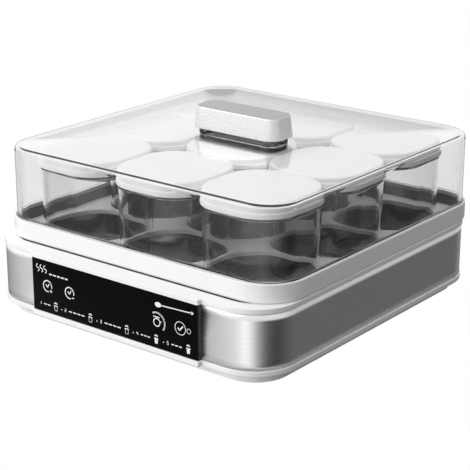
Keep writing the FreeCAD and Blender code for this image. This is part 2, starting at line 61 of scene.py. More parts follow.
PAN_LOW = node_box("base_pan")[0]
STEEL_LOW, STEEL_HIGH = node_box("steel_band")
COLLAR_LOW, COLLAR_HIGH = node_box("collar")
RING_LOW, RING_HIGH = node_box("rim_ring")
TUB_HIGH = node_box("inner_tub")[1]
TRAY_LOW, TRAY_HIGH = node_box("pot_tray")
PANEL_LOW, PANEL_HIGH = node_box("panel_housing")
GLASS_LOW, GLASS_HIGH = node_box("panel_glass")
COVER_LOW, COVER_HIGH = node_box("cover")
NECK_LOW, NECK_HIGH = node_box("handle_neck")
CAP_LOW, CAP_HIGH = node_box("handle_cap")

STEEL_TOP = STEEL_HIGH[2]
STEEL_BOTTOM = STEEL_LOW[2]
COLLAR_TOP = COLLAR_HIGH[2]
BODY_RADIUS = 31.4
PROUD = 0.6                    # the mouldings above and below the steel stand out this much
VISOR_DEPTH = STEEL_LOW[1] - COLLAR_LOW[1] - PROUD
PLINTH_INSET = 6.6
PLINTH_BOTTOM = PAN_LOW[2]
BASE_RING_BOTTOM = 8.2
BAND_INSIDE = -9.4             # inner edge of the base ring, as an offset from the outline


# ---- colour and material helpers ----
def linear(hex_colour):
    """RGBA in linear light from an sRGB hex string."""
    channels = [int(hex_colour[i:i + 2], 16) / 255 for i in (0, 2, 4)]
    return tuple(c / 12.92 if c <= 0.04045 else ((c + 0.055) / 1.055) ** 2.4 for c in channels) + (1.0,)


def add_node(tree, kind, values=None, links=None, **settings):
    """Adds a node, sets its attributes and input values, and links named inputs to given outputs."""
    made = tree.nodes.new(kind)
    for key, value in settings.items():
        setattr(made, key, value)
    for key, value in (values or {}).items():
        made.inputs[key].default_value = value
    for key, source in (links or {}).items():
        tree.links.new(source, made.inputs[key])
    return made


def new_material(name, colour, **shader_values):
    """Material with one Principled shader; returns material, tree, shader and the object coordinates."""
    material = bpy.data.materials.new(name)
    material.use_nodes = True
    tree = material.node_tree
    shader = tree.nodes["Principled BSDF"]
    shader.inputs["Base Color"].default_value = linear(colour)
    for key, value in shader_values.items():
        shader.inputs[key.replace("_", " ")].default_value = value
    place = add_node(tree, "ShaderNodeTexCoord").outputs["Object"]
    return material, tree, shader, place


def add_bump(tree, shader, height, strength, distance):
    """Feeds a height into the shader's normal; distance is in millimetres."""
    bump = add_node(tree, "ShaderNodeBump", {"Strength": strength, "Distance": distance * MM},
                    {"Height": height})
    tree.links.new(bump.outputs["Normal"], shader.inputs["Normal"])


def vary(tree, source, low, high, target):
    """Drives a shader input with a pattern, between two values."""
    spread = add_node(tree, "ShaderNodeMapRange", {"To Min": low, "To Max": high}, {"Value": source})
    tree.links.new(spread.outputs["Result"], target)


def vary_colour(tree, source, low, high, shader):
    """Mixes two near shades of the base colour by a pattern."""
    mix = add_node(tree, "ShaderNodeMix", None, {"Factor": source}, data_type="RGBA")
    mix.inputs[6].default_value = linear(low)
    mix.inputs[7].default_value = linear(high)
    tree.links.new(mix.outputs[2], shader.inputs["Base Color"])


def grain(tree, place, size, detail=3.0, stretch=(1, 1, 1)):
    """Noise whose cells are about size millimetres, optionally stretched along the axes."""
    mapped = add_node(tree, "ShaderNodeMapping", {"Scale": tuple(1 / s for s in stretch)}, {"Vector": place})
    noise = add_node(tree, "ShaderNodeTexNoise", {"Scale": 1 / (size * MM), "Detail": detail},
                     {"Vector": mapped.outputs["Vector"]})
    return noise.outputs["Fac"]


# ---- materials ----
def white_moulding():
    """Injection-moulded ABS: bright gloss white with the faint orange peel of a polished tool."""
    material, tree, shader, place = new_material("abs_gloss_moulded", "F4F4F4", Roughness=0.24, IOR=1.54)
    peel = grain(tree, place, 1.6, 2.0)
    vary(tree, grain(tree, place, 14.0), 0.20, 0.30, shader.inputs["Roughness"])
    vary_colour(tree, grain(tree, place, 40.0), "F1F1F1", "F6F6F6", shader)
    add_bump(tree, shader, peel, 0.10, 0.02)
    return material


def brushed_steel():
    """Stainless sheet brushed along the band: long level scratches that smear the lights upright."""
    material, tree, shader, place = new_material("stainless_brushed", "E9E9E9", Metallic=1.0, Roughness=0.3,
                                                 Anisotropic=0.6)
    lines = grain(tree, place, 0.7, 3.0, (45, 45, 1))
    streaks = grain(tree, place, 1.5, 2.0, (60, 60, 1))
    vary(tree, lines, 0.23, 0.35, shader.inputs["Roughness"])
    vary_colour(tree, streaks, "E5E5E5", "EDEDED", shader)
    add_bump(tree, shader, lines, 0.14, 0.03)
    return material


def brushed_cap():
    """Handle cap: metallised plastic brushed along the handle, so it keeps some of its own white."""
    material, tree, shader, place = new_material("aluminium_brushed", "F6F6F6", Metallic=0.45, Roughness=0.26,
                                                 Anisotropic=0.4)
    lines = grain(tree, place, 0.3, 3.0, (40, 1, 1))
    vary(tree, lines, 0.22, 0.32, shader.inputs["Roughness"])
    vary_colour(tree, grain(tree, place, 0.8, 2.0, (40, 1, 1)), "F2F2F2", "F9F9F9", shader)
    add_bump(tree, shader, lines, 0.07, 0.01)
    return material


def cap_top_painted_shade():
    """The cap's top: the same aluminium with a fine blasted texture. Its darker colour is painted shade that
    keeps the top greyer than the brushed sides.
    """
    # 8E8E8E, much darker than the sides' F6F6F6, is painted shade for the top face
    material, tree, shader, place = new_material("aluminium_top_painted_shade", "8E8E8E", Metallic=1.0, Roughness=0.3)
    blast = grain(tree, place, 0.25, 2.0)
    vary(tree, blast, 0.28, 0.36, shader.inputs["Roughness"])
    vary_colour(tree, grain(tree, place, 6.0), "8A8A8A", "929292", shader)
    add_bump(tree, shader, blast, 0.1, 0.01)
    return material


def moulded(name, low, high, roughness, peel_size=0.8, peel=0.15, **values):
    """Moulded plastic or rubber: slightly uneven colour and roughness over a fine spark texture."""
    material, tree, shader, place = new_material(name, low, Roughness=roughness, **values)
    vary(tree, grain(tree, place, 9.0), roughness * 0.85, roughness * 1.15, shader.inputs["Roughness"])
    vary_colour(tree, grain(tree, place, 25.0), low, high, shader)
    add_bump(tree, shader, grain(tree, place, peel_size, 3.0), peel, 0.03)
    return material


def clear(name, tint, ior, roughness, wave, shadow_tint, dimming):
    """Clear moulding or glass: bends light, with a slow surface wave, and dims it along its way inside.

    Light on its way to other pieces passes without a hard shadow. The dimming is per metre.
    """
    material, tree, shader, place = new_material(name, tint, Roughness=roughness, IOR=ior)
    shader.inputs["Transmission Weight"].default_value = 1.0
    add_bump(tree, shader, grain(tree, place, 30.0, 1.0), 0.1, wave)
    open_air = add_node(tree, "ShaderNodeBsdfTransparent", {"Color": linear(shadow_tint)})
    rays = add_node(tree, "ShaderNodeLightPath")
    pick = add_node(tree, "ShaderNodeMath", None, {0: rays.outputs["Is Shadow Ray"],
                                                   1: rays.outputs["Is Diffuse Ray"]}, operation="MAXIMUM")
    mix = add_node(tree, "ShaderNodeMixShader", None, {0: pick.outputs["Value"], 1: shader.outputs["BSDF"],
                                                       2: open_air.outputs["BSDF"]})
    inside = add_node(tree, "ShaderNodeVolumeAbsorption", {"Color": (0, 0, 0, 1), "Density": dimming})
    output = tree.nodes["Material Output"]
    tree.links.new(mix.outputs["Shader"], output.inputs["Surface"])
    tree.links.new(inside.outputs["Volume"], output.inputs["Volume"])
    return material


def panel_black():
    """Polished black acrylic face, with only dust-fine unevenness."""
    material, tree, shader, place = new_material("acrylic_black_polished", "010101", Roughness=0.2, IOR=1.49)
    shader.inputs["Specular IOR Level"].default_value = 0.06
    vary(tree, grain(tree, place, 12.0), 0.16, 0.24, shader.inputs["Roughness"])
    add_bump(tree, shader, grain(tree, place, 20.0, 1.0), 0.05, 0.01)
    return material


def panel_print():
    """Screen-printed white ink: flat, slightly broken at the edges."""
    material, tree, shader, place = new_material("ink_white_screen_printed", "F2F2F2", Roughness=0.5)
    vary_colour(tree, grain(tree, place, 0.6, 3.0), "E2E2E2", "FFFFFF", shader)
    add_bump(tree, shader, grain(tree, place, 0.4), 0.1, 0.01)
    return material


def circuit_board():
    """Glass-epoxy board under green solder mask, with a faint track pattern."""
    material, tree, shader, place = new_material("glass_epoxy_board", "0E4A22", Roughness=0.35)
    tracks = add_node(tree, "ShaderNodeTexBrick", {"Scale": 260.0, "Mortar Size": 0.03}, {"Vector": place})
    vary_colour(tree, tracks.outputs["Fac"], "0E4A22", "1C6B36", shader)
    add_bump(tree, shader, tracks.outputs["Fac"], 0.3, 0.03)
    return material


def insulation_felt():
    """Needled mineral felt: short pale fibres lying every way."""
    material, tree, shader, place = new_material("mineral_felt_needled", "D8D2C2", Roughness=0.95)
    fibres = grain(tree, place, 0.9, 6.0, (6, 1, 1))
    vary_colour(tree, fibres, "C6BFAD", "E4DFD2", shader)
    add_bump(tree, shader, fibres, 0.8, 0.4)
    return material


def plain_metal(name, low, high, roughness, size, stretch):
    """Rolled or plated metal with fine marks along one way."""
    material, tree, shader, place = new_material(name, low, Metallic=1.0, Roughness=roughness)
    marks = grain(tree, place, size, 4.0, stretch)
    vary(tree, marks, roughness * 0.8, roughness * 1.25, shader.inputs["Roughness"])
    vary_colour(tree, marks, low, high, shader)
    add_bump(tree, shader, marks, 0.2, 0.02)
    return material


WHITE = white_moulding()
STEEL = brushed_steel()
CAP_METAL = brushed_cap()
# darker copy of the cap metal for the cap's top face: painted shade
CAP_TOP_PAINTED_SHADE = cap_top_painted_shade()
LID_WHITE = moulded("polypropylene_satin_white", "F2F2F2", "F7F7F7", 0.34, 0.7, 0.12)
LINER = moulded("polypropylene_dark_liner", "4C4C4C", "545454", 0.38)
TRAY = moulded("polypropylene_grey_tray", "F4F4F4", "FAFAFA", 0.42)
COVER_CLEAR = clear("acrylic_clear_moulded", "FFFFFF", 1.42, 0.0, 0.03, "FFFFFF", 28.0)
JAR_GLASS = clear("soda_glass_pressed", "FCFCFC", 1.49, 0.0, 0.03, "FFFFFF", 9.0)
SMOKED = clear("acrylic_smoked_moulded", "B4B4B4", 1.4, 0.1, 0.03, "B0B0B0", 20.0)
BLACK_GLOSS = panel_black()
BLACK_SATIN = moulded("abs_black_satin", "0A0A0A", "121212", 0.35)
PRINT = panel_print()
RUBBER = moulded("silicone_rubber_black", "1A1A1A", "242424", 0.7, 0.5, 0.3)
BOARD = circuit_board()
FELT = insulation_felt()
ALUMINIUM = plain_metal("aluminium_rolled", "B4B4B6", "CFCFD1", 0.35, 0.6, (40, 1, 1))
SHEATH = plain_metal("steel_sheath_oxidised", "6E6862", "8C857D", 0.45, 1.2, (1, 1, 1))
ZINC = plain_metal("steel_zinc_plated", "A9A9A6", "C6C6C2", 0.3, 0.8, (1, 1, 1))
RESIN = moulded("epoxy_resin_cast", "141414", "1E1E1E", 0.3)
CERAMIC = moulded("steatite_unglazed", "CFC7B4", "DCD5C5", 0.8)
DISPLAY = moulded("display_glass_dark", "14160F", "1B1E16", 0.1, 2.0, 0.02)


# ---- mesh helpers ----
HOLD = 0.5                     # support points this near an arc keep the flats beside it flat, mm


def loop_points(half_x, half_y, radius, height, centre=(0.0, 0.0), steps=14):
    """Points round a rectangle with round corners, in millimetres, starting on the right."""
    radius = max(radius, 0.05)
    hold = min(HOLD, (min(half_x, half_y) - radius) / 2)
    points = []
    for quarter in range(4):
        middle = math.radians(45 + 90 * quarter)
        hub_x = centre[0] + math.copysign(half_x - radius, math.cos(middle))
        hub_y = centre[1] + math.copysign(half_y - radius, math.sin(middle))
        arc = []
        for step in range(steps + 1):
            turn = math.radians(90 * quarter + 90 * step / steps)
            arc.append((hub_x + radius * math.cos(turn), hub_y + radius * math.sin(turn), height))
        start, end = math.radians(90 * quarter), math.radians(90 * quarter + 90)
        before = (arc[0][0] + hold * math.sin(start), arc[0][1] - hold * math.cos(start), height)
        after = (arc[-1][0] - hold * math.sin(end), arc[-1][1] + hold * math.cos(end), height)
        points += [before] + arc + [after]
    return points


def held(profile, closed):
    """Adds a point close to each end of every long span, so that smooth shading leaves it straight."""
    result = []
    spans = list(zip(profile, profile[1:]))
    if closed:
        spans.append((profile[-1], profile[0]))
    for start, end in spans:
        result.append(start)
        length = math.dist(start[:2], end[:2])
        if length > 4 * HOLD:
            for share in (HOLD / length, 1 - HOLD / length):
                result.append(tuple(a + (b - a) * share for a, b in zip(start, end)))
    if not closed:
        result.append(profile[-1])
    return result


def bend(centre, radius, start, end, steps=5):
    """Profile points (offset, height) along an arc; angles in degrees."""
    points = []
    for step in range(steps + 1):
        turn = math.radians(start + (end - start) * step / steps)
        points.append((centre[0] + radius * math.cos(turn), centre[1] + radius * math.sin(turn)))
    return points


def finish_mesh(name, bm, material, body, replaced=(), sharp=32.0):
    """Turns a bmesh in millimetres into a shaded piece riding on its body."""
    for vertex in bm.verts:
        vertex.co *= MM
    bmesh.ops.recalc_face_normals(bm, faces=bm.faces)
    mesh = bpy.data.meshes.new(name)
    bm.to_mesh(mesh)
    bm.free()
    mesh.shade_smooth()
    mesh.set_sharp_from_angle(angle=math.radians(sharp))
    mesh.materials.append(material)
    piece = bpy.data.objects.new(name, mesh)
    bpy.context.scene.collection.objects.link(piece)
    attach(piece, body)
    if replaced:
        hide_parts(*replaced)
    return piece


def skin(bm, loops, closed=False, caps=True):
    """Joins equal loops of points into a skin; closed joins the last to the first, caps fills the ends."""
    rows = [[bm.verts.new(point) for point in loop] for loop in loops]
    count = len(rows[0])
    spans = list(zip(rows, rows[1:]))
    if closed:
        spans.append((rows[-1], rows[0]))
    for lower, upper in spans:
        for index in range(count):
            after = (index + 1) % count
            bm.faces.new((lower[index], lower[after], upper[after], upper[index]))
    if caps and not closed:
        bm.faces.new(rows[0])
        bm.faces.new(list(reversed(rows[-1])))
    return rows


def swept(bm, half_x, half_y, radius, profile, centre=(0.0, 0.0), closed=False, steps=14):
    """Sweeps a profile of (offset outwards, height) round a rounded rectangle."""
    loops = []
    for offset, height in held(profile, closed):
        loops.append(loop_points(half_x + offset, half_y + offset, radius + offset, height, centre, steps))
    return skin(bm, loops, closed)


# ---- base ----
BODY_HALF_X = half_and_middle("steel_band", 0)[0]
BODY_HALF_Y = half_and_middle("steel_band", 1)[0]
RING_HALF_X = half_and_middle("rim_ring", 0)[0]
RING_HALF_Y, RING_Y = half_and_middle("rim_ring", 1)
COVER_FLANGE = 1.5
COVER_HALF_X = half_and_middle("cover", 0)[0] - COVER_FLANGE
COVER_HALF_Y = half_and_middle("cover", 1)[0] - COVER_FLANGE
UPPER = (0.0, RING_Y)          # middle of the ring and of everything above it
RING_RADIUS = 30.5
RING_BORE_HALF_X = 116.8
SHEET = 1.0                    # thickness of the steel


def body_loop(offset, height, visor):
    """Points round the body's outline, moved outwards by offset; the front ledge stands out by visor."""
    plain = loop_points(BODY_HALF_X + offset, BODY_HALF_Y + offset, BODY_RADIUS + offset, height)
    steps = len(plain) // 4
    front = -(BODY_HALF_Y + offset)
    reach = max(offset, 0.0)
    left = PANEL_LOW[0] - reach
    right = PANEL_HIGH[0] + reach
    soft = min(0.8, visor / 2 + 0.01)
    ledge = []
    corners = ((left, 0.0, -1), (left, visor, 1), (right, visor, 1), (right, 0.0, -1))
    for index, (x, out, turn) in enumerate(corners):
        leftward = index < 2
        side = -1 if leftward else 1
        hub_x = x - side * soft if turn > 0 else x + side * soft
        hub_out = out - soft if turn > 0 else out + soft
        for step in range(5):
            part = step / 4 * 90
            if turn > 0:
                angle = 180 - part if leftward else 90 - part
            else:
                angle = 270 + part if leftward else 180 + part
            t = math.radians(angle)
            ledge.append((hub_x + soft * math.cos(t), front - (hub_out + soft * math.sin(t)), height))
    if visor <= 0.0:
        ledge = [(x, front, height) for x, _, _ in ledge]
    front_middle = 3 * steps
    return plain[:front_middle] + ledge + plain[front_middle:]


def body_band(bm, profile):
    """Closed ring on the body's outline; the profile holds (offset, height, visor)."""
    loops = [body_loop(*point) for point in held(profile, True)]
    skin(bm, loops, closed=True)


def with_visor(points, visor):
    """Gives every (offset, height) point of a profile the same visor."""
    return [(offset, height, visor) for offset, height in points]


def make_base_pan():
    """Bottom moulding: plinth, base ring with its front ledge, floor and inner tongue."""
    bm = bmesh.new()
    lower_edge, upper_edge = 0.7, 0.5
    profile = with_visor([(BAND_INSIDE, BASE_RING_BOTTOM)], 0.0)
    profile += with_visor([(-PLINTH_INSET, BASE_RING_BOTTOM)], 0.0)
    corner = (PROUD - lower_edge, BASE_RING_BOTTOM + lower_edge)
    profile += with_visor(bend(corner, lower_edge, -90, 0, 3), VISOR_DEPTH)
    corner = (PROUD - upper_edge, STEEL_BOTTOM - upper_edge)
    profile += with_visor(bend(corner, upper_edge, 0, 90, 3), VISOR_DEPTH)
    profile += with_visor([(-0.05, STEEL_BOTTOM + 0.02)], VISOR_DEPTH)
    profile += with_visor([(BAND_INSIDE, STEEL_BOTTOM)], 0.0)
    body_band(bm, profile)
    foot_edge = 1.2
    inside = -PLINTH_INSET - 3.0
    wall_top = BASE_RING_BOTTOM + 0.2
    wall = [(inside, PLINTH_BOTTOM), (-PLINTH_INSET - foot_edge, PLINTH_BOTTOM)]
    wall += bend((-PLINTH_INSET - foot_edge, PLINTH_BOTTOM + foot_edge), foot_edge, -90, 0, 4)[1:]
    wall += [(-PLINTH_INSET, wall_top), (inside, wall_top)]
    swept(bm, BODY_HALF_X, BODY_HALF_Y, BODY_RADIUS, wall, closed=True)
    floor_bottom, floor_top = 4.0, 6.5
    floor = [(-PLINTH_INSET - 2.0, floor_bottom), (-PLINTH_INSET - 2.0, floor_top)]
    swept(bm, BODY_HALF_X, BODY_HALF_Y, BODY_RADIUS, floor)
    return finish_mesh("base_moulding", bm, WHITE, "base", ["base_pan"])


def box_points(x0, x1, y0, y1, z0, z1):
    """Lowest and highest corner of a box."""
    return (x0, y0, z0), (x1, y1, z1)


def rounded_box(bm, corners, radius, segments=3):
    """Box with softened edges, added to a bmesh."""
    low, high = corners
    made = bmesh.ops.create_cube(bm, size=1.0)["verts"]
    for vertex in made:
        vertex.co = Vector([high[i] if vertex.co[i] > 0 else low[i] for i in range(3)])
    edges = list({edge for vertex in made for edge in vertex.link_edges})
    bmesh.ops.bevel(bm, geom=edges, offset=radius, segments=segments, profile=0.5, affect="EDGES")


def make_collar():
    """Upper moulding: short outer wall, ledge round the ring, ledge over the panel and inner tongue."""
    bm = bmesh.new()
    inside = -9.5
    underside = STEEL_TOP + 1.4
    lower_edge, upper_edge = 0.3, 0.5
    profile = with_visor([(inside, underside), (-SHEET, underside), (-SHEET, STEEL_TOP)], 0.0)
    corner = (PROUD - lower_edge, STEEL_TOP + lower_edge)
    profile += with_visor(bend(corner, lower_edge, -90, 0, 2), VISOR_DEPTH)
    corner = (PROUD - upper_edge, COLLAR_TOP - upper_edge)
    profile += with_visor(bend(corner, upper_edge, 0, 90, 4), VISOR_DEPTH)
    profile += with_visor([(inside, COLLAR_TOP)], 0.0)
    body_band(bm, profile)
    return finish_mesh("collar_moulding", bm, WHITE, "base", ["collar"])


def make_steel_band():
    """Sheet steel skin with its opening behind the panel."""
    bm = bmesh.new()
    opening_bottom, opening_top, lap = 18.0, 44.0, 4.6
    left, right = PANEL_LOW[0] + lap, PANEL_HIGH[0] - lap
    loops = []
    for height in (STEEL_BOTTOM, opening_bottom, opening_top, STEEL_TOP):
        plain = loop_points(BODY_HALF_X, BODY_HALF_Y, BODY_RADIUS, height, steps=20)
        front_middle = 3 * (len(plain) // 4)
        sides = [(left, -BODY_HALF_Y, height), (right, -BODY_HALF_Y, height)]
        loops.append(plain[:front_middle] + sides + plain[front_middle:])
    rows = [[bm.verts.new(point) for point in loop] for loop in loops]
    count = len(rows[0])
    gap = 3 * (count - 2) // 4
    for level, (lower, upper) in enumerate(zip(rows, rows[1:])):
        for index in range(count):
            if level == 1 and index == gap:      # the opening itself
                continue
            after = (index + 1) % count
            bm.faces.new((lower[index], lower[after], upper[after], upper[index]))
    band = finish_mesh("steel_skin", bm, STEEL, "base", ["steel_band"])
    solid = band.modifiers.new("sheet_thickness", "SOLIDIFY")
    solid.thickness = SHEET * MM
    solid.offset = -1.0
    return band


def make_rim_ring():
    """Ring that carries the cover: rounded top edge, shadow gap under its outer wall."""
    bm = bmesh.new()
    bottom, top = RING_LOW[2], RING_HIGH[2]
    wall = RING_HALF_X - RING_BORE_HALF_X
    gap = -1.0                 # the wall steps back this far below the ring
    profile = [(-wall, bottom), (gap, bottom), (gap, bottom + 0.8)]
    profile += bend((-0.3, bottom + 1.1), 0.3, -90, 0, 2)
    profile += bend((-0.7, top - 0.7), 0.7, 0, 90, 5)
    profile += bend((-wall + 0.4, top - 0.4), 0.4, 90, 180, 3)
    swept(bm, RING_HALF_X, RING_HALF_Y, RING_RADIUS, profile, UPPER, closed=True, steps=20)
    return finish_mesh("rim_ring_moulding", bm, WHITE, "base", ["rim_ring"])


def make_inner_tub():
    """Dark liner: upper wall inside the ring, shelf for the tray, deep well for the jars."""
    bm = bmesh.new()
    half_x = half_and_middle("inner_tub", 0)[0]
    half_y = half_and_middle("inner_tub", 1)[0]
    well_inside, well_outside = 109.8 - half_x, 111.4 - half_x
    underside, floor_top, corner = 32.0, 33.6, 24.8
    shelf_top = COLLAR_TOP + 1.7
    rim = TUB_HIGH[2] - 0.5
    profile = [(well_outside - 2, underside), (well_outside, underside), (well_outside, COLLAR_TOP)]
    profile += [(0.0, COLLAR_TOP)]
    profile += bend((-0.5, rim), 0.5, 0, 180, 6)[:-1]
    profile += [(-1.5, rim)]
    profile += bend((-3.0, shelf_top + 1.5), 1.5, 0, -90, 4)
    profile += [(well_inside + 0.5, shelf_top)]
    profile += bend((well_inside - 0.5, shelf_top - 1.0), 1.0, 90, 180, 3)[:2]
    profile += [(well_inside, shelf_top - 2.0)]
    profile += bend((well_inside - 3.0, floor_top + 3.0), 3.0, 0, -90, 5)
    swept(bm, half_x, half_y, corner, profile, UPPER)
    return finish_mesh("tub_liner", bm, LINER, "base", ["inner_tub"])


def jar_places():
    """Jar number and its middle in plan."""
    places = {}
    for number in range(1, 10):
        low, high = node_box("jar_%d" % number)
        places[number] = ((low[0] + high[0]) / 2, (low[1] + high[1]) / 2)
    return places


def make_pot_tray():
    """Plate with nine rounded-square holes, each with a short rolled edge."""
    bm = bmesh.new()
    half_x = half_and_middle("pot_tray", 0)[0]
    half_y = half_and_middle("pot_tray", 1)[0]
    bottom, top = TRAY_LOW[2], TRAY_HIGH[2]
    edges = []

    def add_loop(points):
        """Closed run of edges, for the fill."""
        ring = [bm.verts.new(point) for point in points]
        for index, vertex in enumerate(ring):
            edges.append(bm.edges.new((vertex, ring[(index + 1) % len(ring)])))

    hole = 34.3
    roll = 0.9
    hole_corner = 27.6
    corner = 23.1
    add_loop(loop_points(half_x, half_y, corner, top, UPPER))
    for centre in jar_places().values():
        add_loop(loop_points(hole + roll, hole + roll, hole_corner + roll, top, centre))
    bmesh.ops.triangle_fill(bm, edges=edges, use_beauty=True)
    lower = bmesh.ops.duplicate(bm, geom=bm.faces[:])["geom"]
    for item in lower:
        if isinstance(item, bmesh.types.BMVert):
            item.co.z = bottom
    skin(bm, [loop_points(half_x, half_y, corner, height, UPPER) for height in (bottom, top)], caps=False)
    drop = bottom - 1.5
    hem = [(roll, top)] + bend((roll, top - roll), roll, 90, 180, 4)[1:]
    hem += [(0.0, drop), (roll, drop), (roll, bottom)]
    for centre in jar_places().values():
        loops = [loop_points(hole + offset, hole + offset, hole_corner + offset, height, centre)
                 for offset, height in hem]
        skin(bm, loops, caps=False)
    bmesh.ops.remove_doubles(bm, verts=bm.verts, dist=1e-4)
    return finish_mesh("tray_plate", bm, TRAY, "base", ["pot_tray"])


# ---- panel ----
def make_panel():
    """Black control block and its glossy face."""
    bm = bmesh.new()
    back = STEEL_LOW[1] + 0.2
    block = box_points(PANEL_LOW[0], PANEL_HIGH[0], PANEL_LOW[1], back, PANEL_LOW[2], PANEL_HIGH[2])
    rounded_box(bm, block, 0.5)
    spigot_inset, spigot_bottom, spigot_top = 5, 18.4, 43.6
    spigot = box_points(PANEL_LOW[0] + spigot_inset, PANEL_HIGH[0] - spigot_inset, back, PANEL_HIGH[1],
                        spigot_bottom, spigot_top)
    rounded_box(bm, spigot, 0.3)
    finish_mesh("panel_block", bm, BLACK_SATIN, "base", ["panel_housing"])
    bm = bmesh.new()
    lap = 0.9                  # the face runs on to the block's edges
    face = box_points(GLASS_LOW[0] - lap, GLASS_HIGH[0] + lap, GLASS_LOW[1], GLASS_HIGH[1] + 0.1,
                      GLASS_LOW[2] - lap, GLASS_HIGH[2] + lap)
    rounded_box(bm, face, 0.2)
    finish_mesh("panel_face", bm, BLACK_GLOSS, "base", ["panel_glass"])


PRINT_Y = GLASS_LOW[1]
PRINT_X = (PANEL_LOW[0] + PANEL_HIGH[0]) / 2 - 1.8     # the print's own middle is at 1.8, 32.3
PRINT_Z = (PANEL_LOW[2] + PANEL_HIGH[2]) / 2 - 32.3
INK = 0.06                     # height of the ink over the face
SUNK = 0.02                    # how far the ink's back lies in the face


class Ink:
    """Collects flat printed shapes; x and z in millimetres from the print's own origin."""

    def __init__(self):
        """Starts with nothing printed."""
        self.bm = bmesh.new()

    def patch(self, points):
        """Filled outline with the ink's thickness."""
        points = [(x + PRINT_X, z + PRINT_Z) for x, z in points]
        front = [self.bm.verts.new((x, PRINT_Y - INK, z)) for x, z in points]
        back = [self.bm.verts.new((x, PRINT_Y + SUNK, z)) for x, z in points]
        count = len(points)
        self.bm.faces.new(front)
        self.bm.faces.new(list(reversed(back)))
        for index in range(count):
            after = (index + 1) % count
            self.bm.faces.new((front[after], front[index], back[index], back[after]))

    def stroke(self, start, end, width):
        """Straight line of even width."""
        along = Vector((end[0] - start[0], end[1] - start[1]))
        side = Vector((-along.y, along.x)).normalized() * width / 2
        self.patch([(start[0] + side.x, start[1] + side.y), (start[0] - side.x, start[1] - side.y),
                    (end[0] - side.x, end[1] - side.y), (end[0] + side.x, end[1] + side.y)])

    def arc(self, centre, radius, start, end, width, steps=None):
        """Part of a ring, drawn as short quads joined into one outline."""
        steps = steps or max(6, int(abs(end - start) / 9))
        inner, outer = [], []
        for step in range(steps + 1):
            turn = math.radians(start + (end - start) * step / steps)
            for radius_now, line in ((radius - width / 2, inner), (radius + width / 2, outer)):
                line.append((centre[0] + radius_now * math.cos(turn),
                             centre[1] + radius_now * math.sin(turn)))
        for step in range(steps):
            self.patch([inner[step], outer[step], outer[step + 1], inner[step + 1]])

    def disc(self, centre, radius, stretch=1.0, steps=20):
        """Filled circle, or an oval when stretched along x."""
        turns = [2 * math.pi * step / steps for step in range(steps)]
        self.patch([(centre[0] + stretch * radius * math.cos(turn), centre[1] + radius * math.sin(turn))
                    for turn in turns])


SEGMENTS = {"top": ((0, 2), (1, 2)), "mid": ((0, 1), (1, 1)), "low": ((0, 0), (1, 0)),
            "tl": ((0, 1), (0, 2)), "tr": ((1, 1), (1, 2)), "bl": ((0, 0), (0, 1)), "br": ((1, 0), (1, 1))}
DIGITS = {1: ("tr", "br"), 2: ("top", "tr", "mid", "bl", "low"), 3: ("top", "tr", "mid", "br", "low"),
          4: ("tl", "mid", "tr", "br"), 5: ("top", "tl", "mid", "br", "low")}


def draw_digit(ink, number, x, z, height=2.0):
    """A plain stroked digit standing at x, z."""
    unit = height / 2
    for name in DIGITS[number]:
        (ax, az), (bx, bz) = SEGMENTS[name]
        ink.stroke((x + ax * unit, z + az * unit), (x + bx * unit, z + bz * unit), 0.42)


def draw_jar(ink, x, z, filled):
    """Small dessert jar with a sprig over it."""
    ink.stroke((x - 1.7, z + 0.7), (x + 1.7, z + 0.7), 0.7)
    if filled:
        ink.patch([(x - 1.3, z + 0.2), (x - 1.1, z - 2.8), (x + 1.1, z - 2.8), (x + 1.3, z + 0.2)])
    else:
        outline = [(x - 1.3, z + 0.3), (x - 1.15, z - 2.7), (x + 1.15, z - 2.7), (x + 1.3, z + 0.3)]
        for start, end in zip(outline, outline[1:]):
            ink.stroke(start, end, 0.28)
    for lean in (-35, 0, 35):
        turn = math.radians(90 + lean)
        tip = (x + 1.5 * math.cos(turn), z + 1.3 + 1.5 * math.sin(turn))
        ink.disc(tip, 0.55)


def draw_clock(ink, x, z, plus):
    """Timer key: open ring, clock hands and a plus or minus sign."""
    ink.arc((x, z), 3.9, -15, 285, 0.75)
    ink.stroke((x - 1.5, z + 0.9), (x - 0.1, z - 0.9), 0.75)
    ink.stroke((x - 0.1, z - 0.9), (x + 1.5, z + 1.7), 0.75)
    ink.stroke((x + 2.0, z - 3.0), (x + 4.2, z - 3.0), 0.6)
    if plus:
        ink.stroke((x + 3.1, z - 4.1), (x + 3.1, z - 1.9), 0.6)


